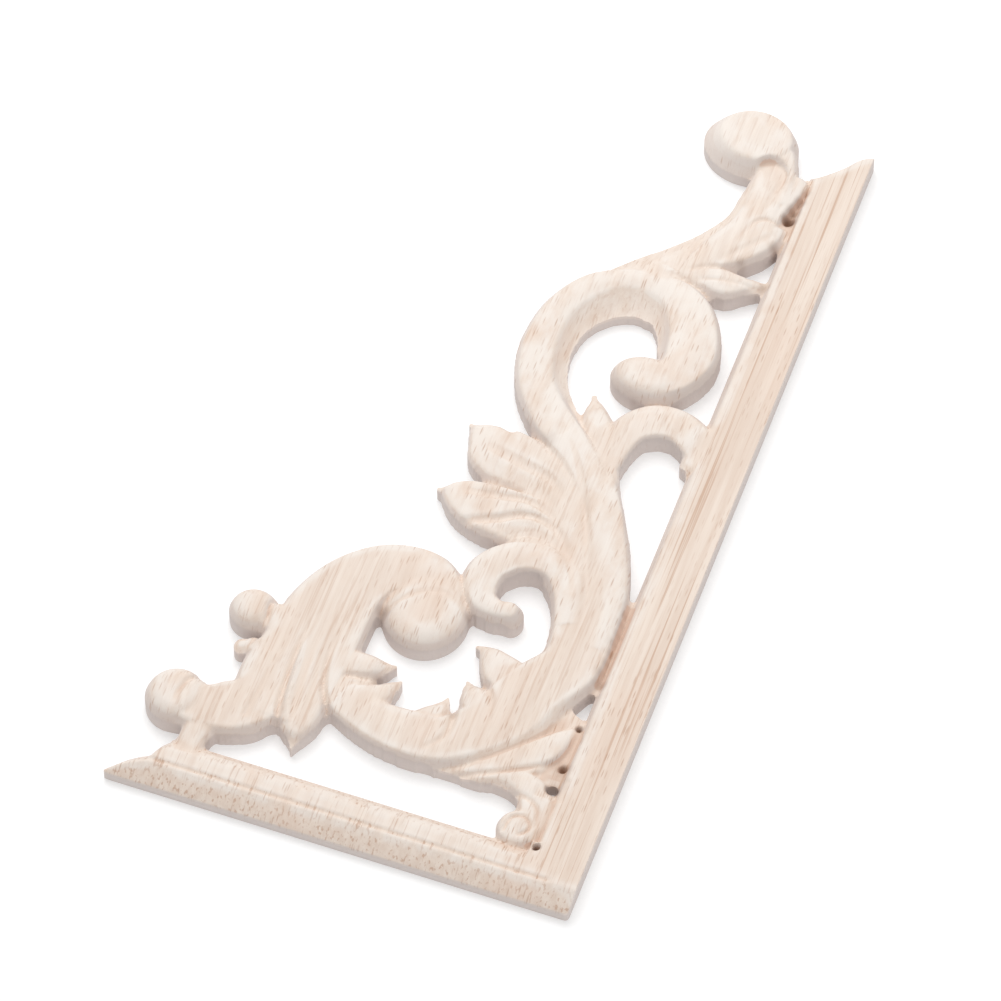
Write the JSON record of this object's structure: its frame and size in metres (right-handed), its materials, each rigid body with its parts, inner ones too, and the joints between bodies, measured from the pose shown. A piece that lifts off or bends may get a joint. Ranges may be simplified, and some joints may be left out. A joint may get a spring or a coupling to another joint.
{
  "type": "corner onlay",
  "caption": "Flat right-angle wooden corner onlay with a plain straight stile, a moulded foot and pierced leaf scrolls between them, left hand.",
  "frame": {"origin": "on the flat back, in the middle of the corner block where the stile and the foot meet", "axes": "+Z out of the carved face, +Y along the stile to its swept top, -X along the foot to its shaped end"},
  "size_m": [0.0997, 0.2, 0.008],
  "materials": {
    "pale_wood": "unfinished, sanded, as carved"
  },
  "bodies": {
    "root": {"corner_onlay": "pale_wood"}
  },
  "joints": []
}
